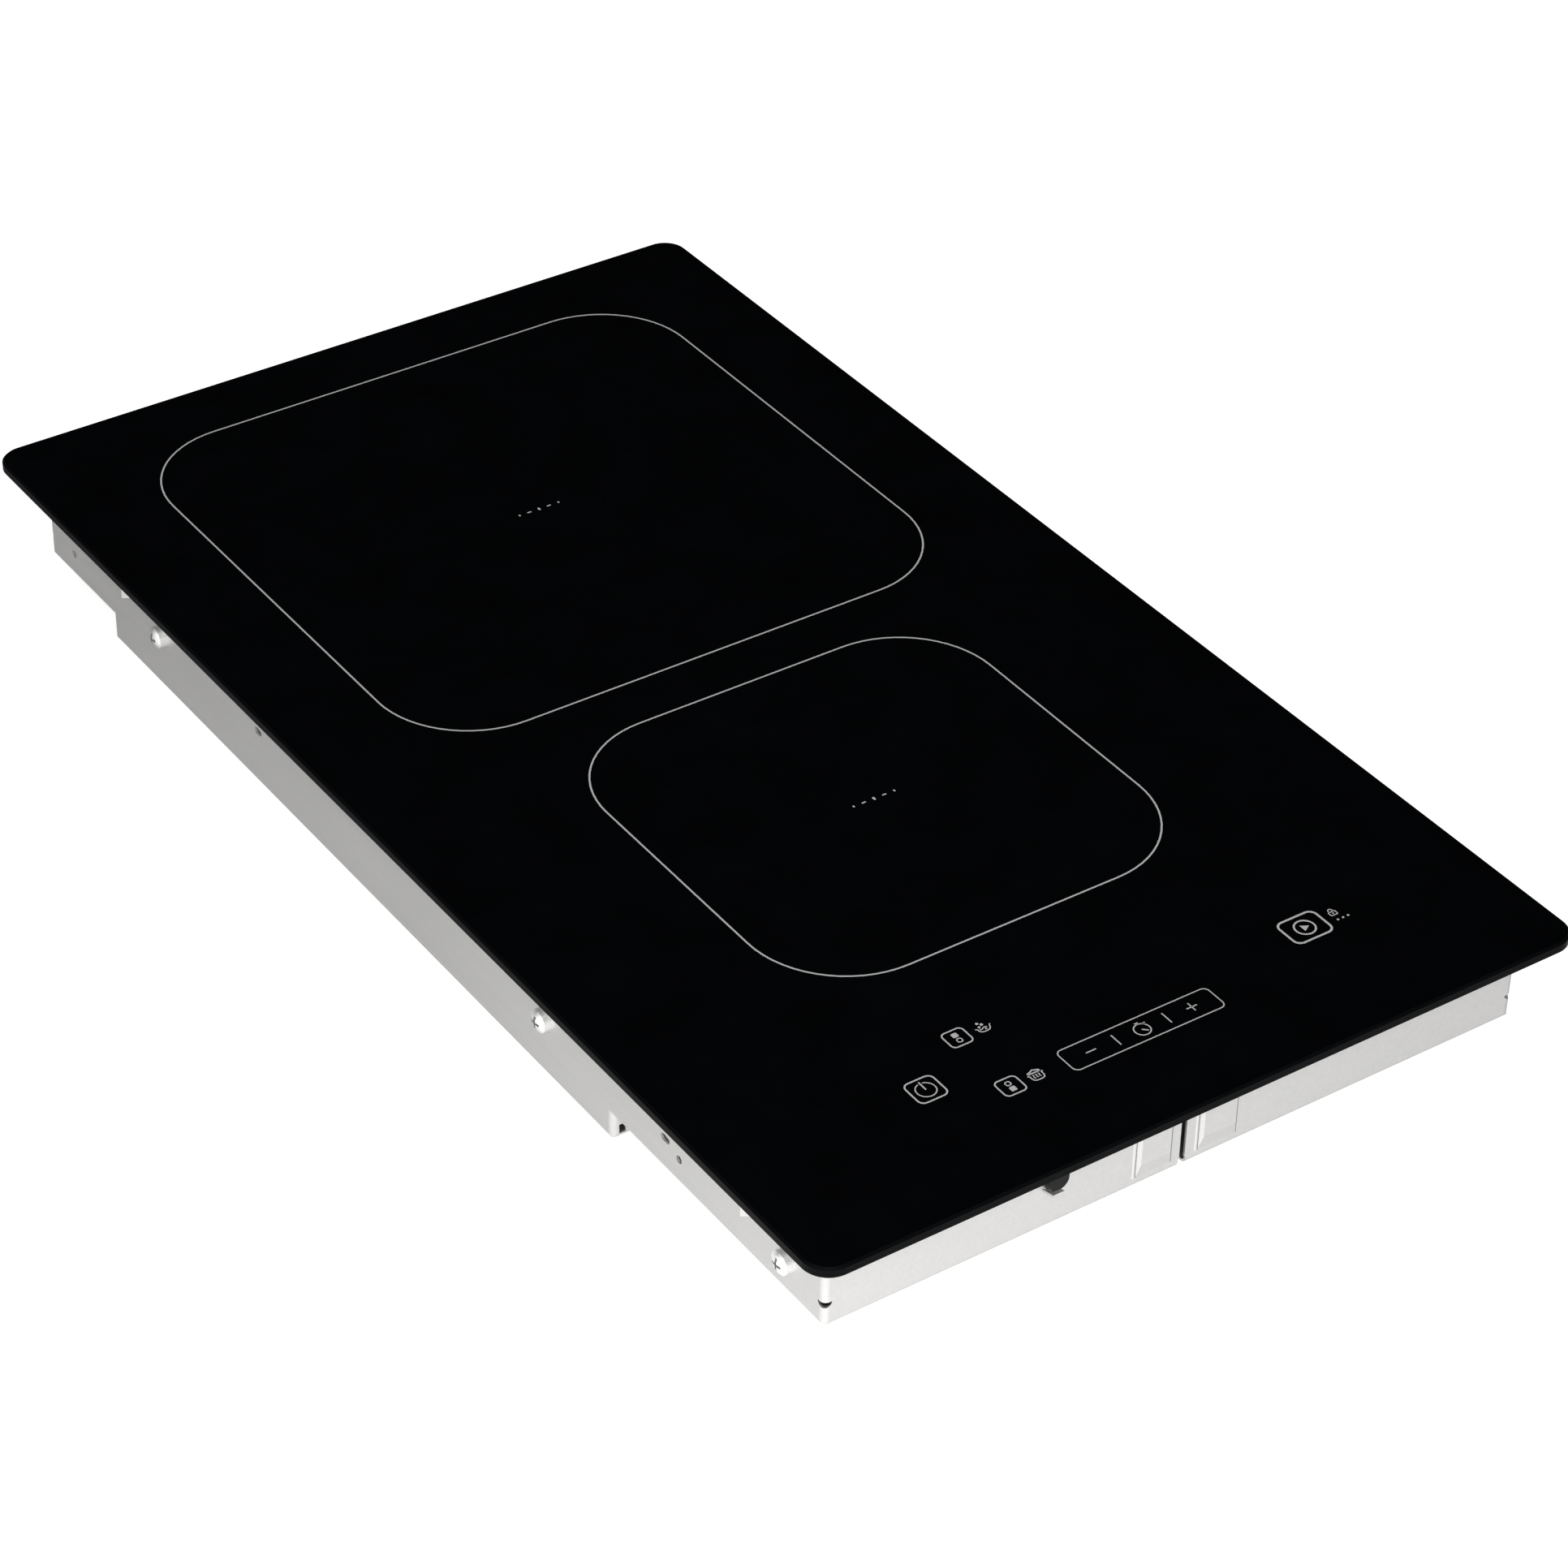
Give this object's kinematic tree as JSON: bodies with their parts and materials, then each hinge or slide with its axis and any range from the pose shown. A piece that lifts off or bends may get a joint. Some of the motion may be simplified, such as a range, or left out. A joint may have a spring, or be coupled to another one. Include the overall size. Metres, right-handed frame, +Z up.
{
  "type": "built-in induction cooktop",
  "caption": "Narrow built-in induction cooktop: black glass with printed rounded-square zones and touch keys, on a stepped steel chassis with sprung coils, fan and electronics.",
  "frame": {"origin": "centre of the glass footprint on the plane of the deep pan's underside", "axes": "+X to the user's right, +Y to the rear, +Z up out of the cooking surface"},
  "size_m": [0.284, 0.51, 0.0468],
  "materials": {
    "black_glass": "polished black glass-ceramic",
    "print_enamel": "fused grey enamel ink",
    "seal_foam": "closed-cell foam",
    "silicone": "cured black silicone",
    "zinc_steel": "zinc-coated sheet with fine spangle",
    "screw_steel": "bright zinc-plated screws",
    "black_rubber": "matt moulded rubber",
    "black_plastic": "moulded glass-filled plastic",
    "grey_plastic": "moulded plastic",
    "circuit_board": "solder-masked board",
    "aluminium": "mill-finish aluminium",
    "epoxy_black": "moulded epoxy",
    "capacitor_red": "potted film capacitor case",
    "capacitor_blue": "moulded component case",
    "sleeve_black": "shrink sleeve over a can",
    "copper_wire": "enamelled copper wire",
    "litz_copper": "varnished litz wire",
    "white_ceramic": "unglazed ceramic",
    "ferrite": "sintered ferrite",
    "white_plastic": "moulded nylon",
    "heat_plastic": "heat-resistant moulded plastic",
    "mica_sheet": "pressed mica sheet",
    "spring_steel": "drawn spring wire",
    "lead_silicone": "silicone-sleeved lead",
    "contact_foam": "conductive foam",
    "display_red": "tinted display window",
    "ribbon_grey": "flat cable insulation",
    "brass_screws": "plated brass"
  },
  "bodies": {
    "root": {"glass_top": "black_glass", "printed_marks": "print_enamel", "worktop_seal": "seal_foam", "silicone_bond": "silicone", "glass_frame": "zinc_steel", "chassis_tray": "zinc_steel", "side_screws": "screw_steel", "front_grommet": "black_rubber", "electronics_housing": "black_plastic", "power_board": "circuit_board", "heat_sink": "aluminium", "power_transistors": "epoxy_black", "bridge_rectifier": "epoxy_black", "resonant_capacitors": "capacitor_red", "bus_capacitors": "capacitor_blue", "electrolytic_capacitors": "sleeve_black", "filter_choke": "copper_wire", "relays": "capacitor_blue", "mains_fuse": "white_ceramic", "supply_transformer": "ferrite", "board_connectors": "white_plastic", "board_screws": "screw_steel", "fan_housing": "black_plastic", "fan_cover": "black_plastic", "fan_motor": "copper_wire", "fan_screws": "screw_steel", "shield_plate": "aluminium", "plate_screws": "screw_steel", "rear_coil_springs": "spring_steel", "rear_coil_leads": "lead_silicone", "front_coil_springs": "spring_steel", "front_coil_leads": "lead_silicone", "touch_carrier": "black_plastic", "touch_board": "circuit_board", "touch_pads": "contact_foam", "display_blocks": "display_red", "control_ribbon": "ribbon_grey", "terminal_box": "black_plastic", "terminal_strip": "white_plastic", "terminal_screws": "brass_screws", "cable_inlet_bush": "black_rubber"},
    "fan_wheel": {"fan_impeller": "grey_plastic"},
    "rear_coil": {"rear_coil_base": "aluminium", "rear_ferrites": "ferrite", "rear_coil_former": "heat_plastic", "rear_winding": "litz_copper", "rear_insulation": "mica_sheet", "rear_sensor_sleeve": "heat_plastic", "rear_sensor_spring": "spring_steel"},
    "rear_sensor_head": {"rear_sensor": "white_ceramic"},
    "front_coil": {"front_coil_base": "aluminium", "front_ferrites": "ferrite", "front_coil_former": "heat_plastic", "front_winding": "litz_copper", "front_insulation": "mica_sheet", "front_sensor_sleeve": "heat_plastic", "front_sensor_spring": "spring_steel"},
    "front_sensor_head": {"front_sensor": "white_ceramic"},
    "lid": {"terminal_lid": "black_plastic"}
  },
  "joints": [
    {"name": "fan_spin", "type": "hinge", "parent": "root", "child": "fan_wheel", "pos_m": [0.062, 0.132, 0.014], "axis": [0, 0, 1], "continuous": true},
    {"name": "rear_coil_float", "type": "slide", "parent": "root", "child": "rear_coil", "axis": [0, 0, 1], "range_m": [-0.002, 0], "stiffness_N_per_m": 6000, "springref_m": 0.008, "deforming": ["rear_coil_springs", "rear_coil_leads"]},
    {"name": "rear_sensor_press", "type": "slide", "parent": "rear_coil", "child": "rear_sensor_head", "axis": [0, 0, 1], "range_m": [-0.0015, 0], "stiffness_N_per_m": 250, "springref_m": 0.004, "deforming": ["rear_sensor_spring"]},
    {"name": "front_coil_float", "type": "slide", "parent": "root", "child": "front_coil", "axis": [0, 0, 1], "range_m": [-0.002, 0], "stiffness_N_per_m": 5000, "springref_m": 0.008, "deforming": ["front_coil_springs", "front_coil_leads"]},
    {"name": "front_sensor_press", "type": "slide", "parent": "front_coil", "child": "front_sensor_head", "axis": [0, 0, 1], "range_m": [-0.0015, 0], "stiffness_N_per_m": 250, "springref_m": 0.004, "deforming": ["front_sensor_spring"]},
    {"name": "terminal_lid_swing", "type": "hinge", "parent": "root", "child": "lid", "pos_m": [-0.08, 0.196, 0.0076], "axis": [-1, 0, 0], "range_deg": [0, 90]}
  ]
}
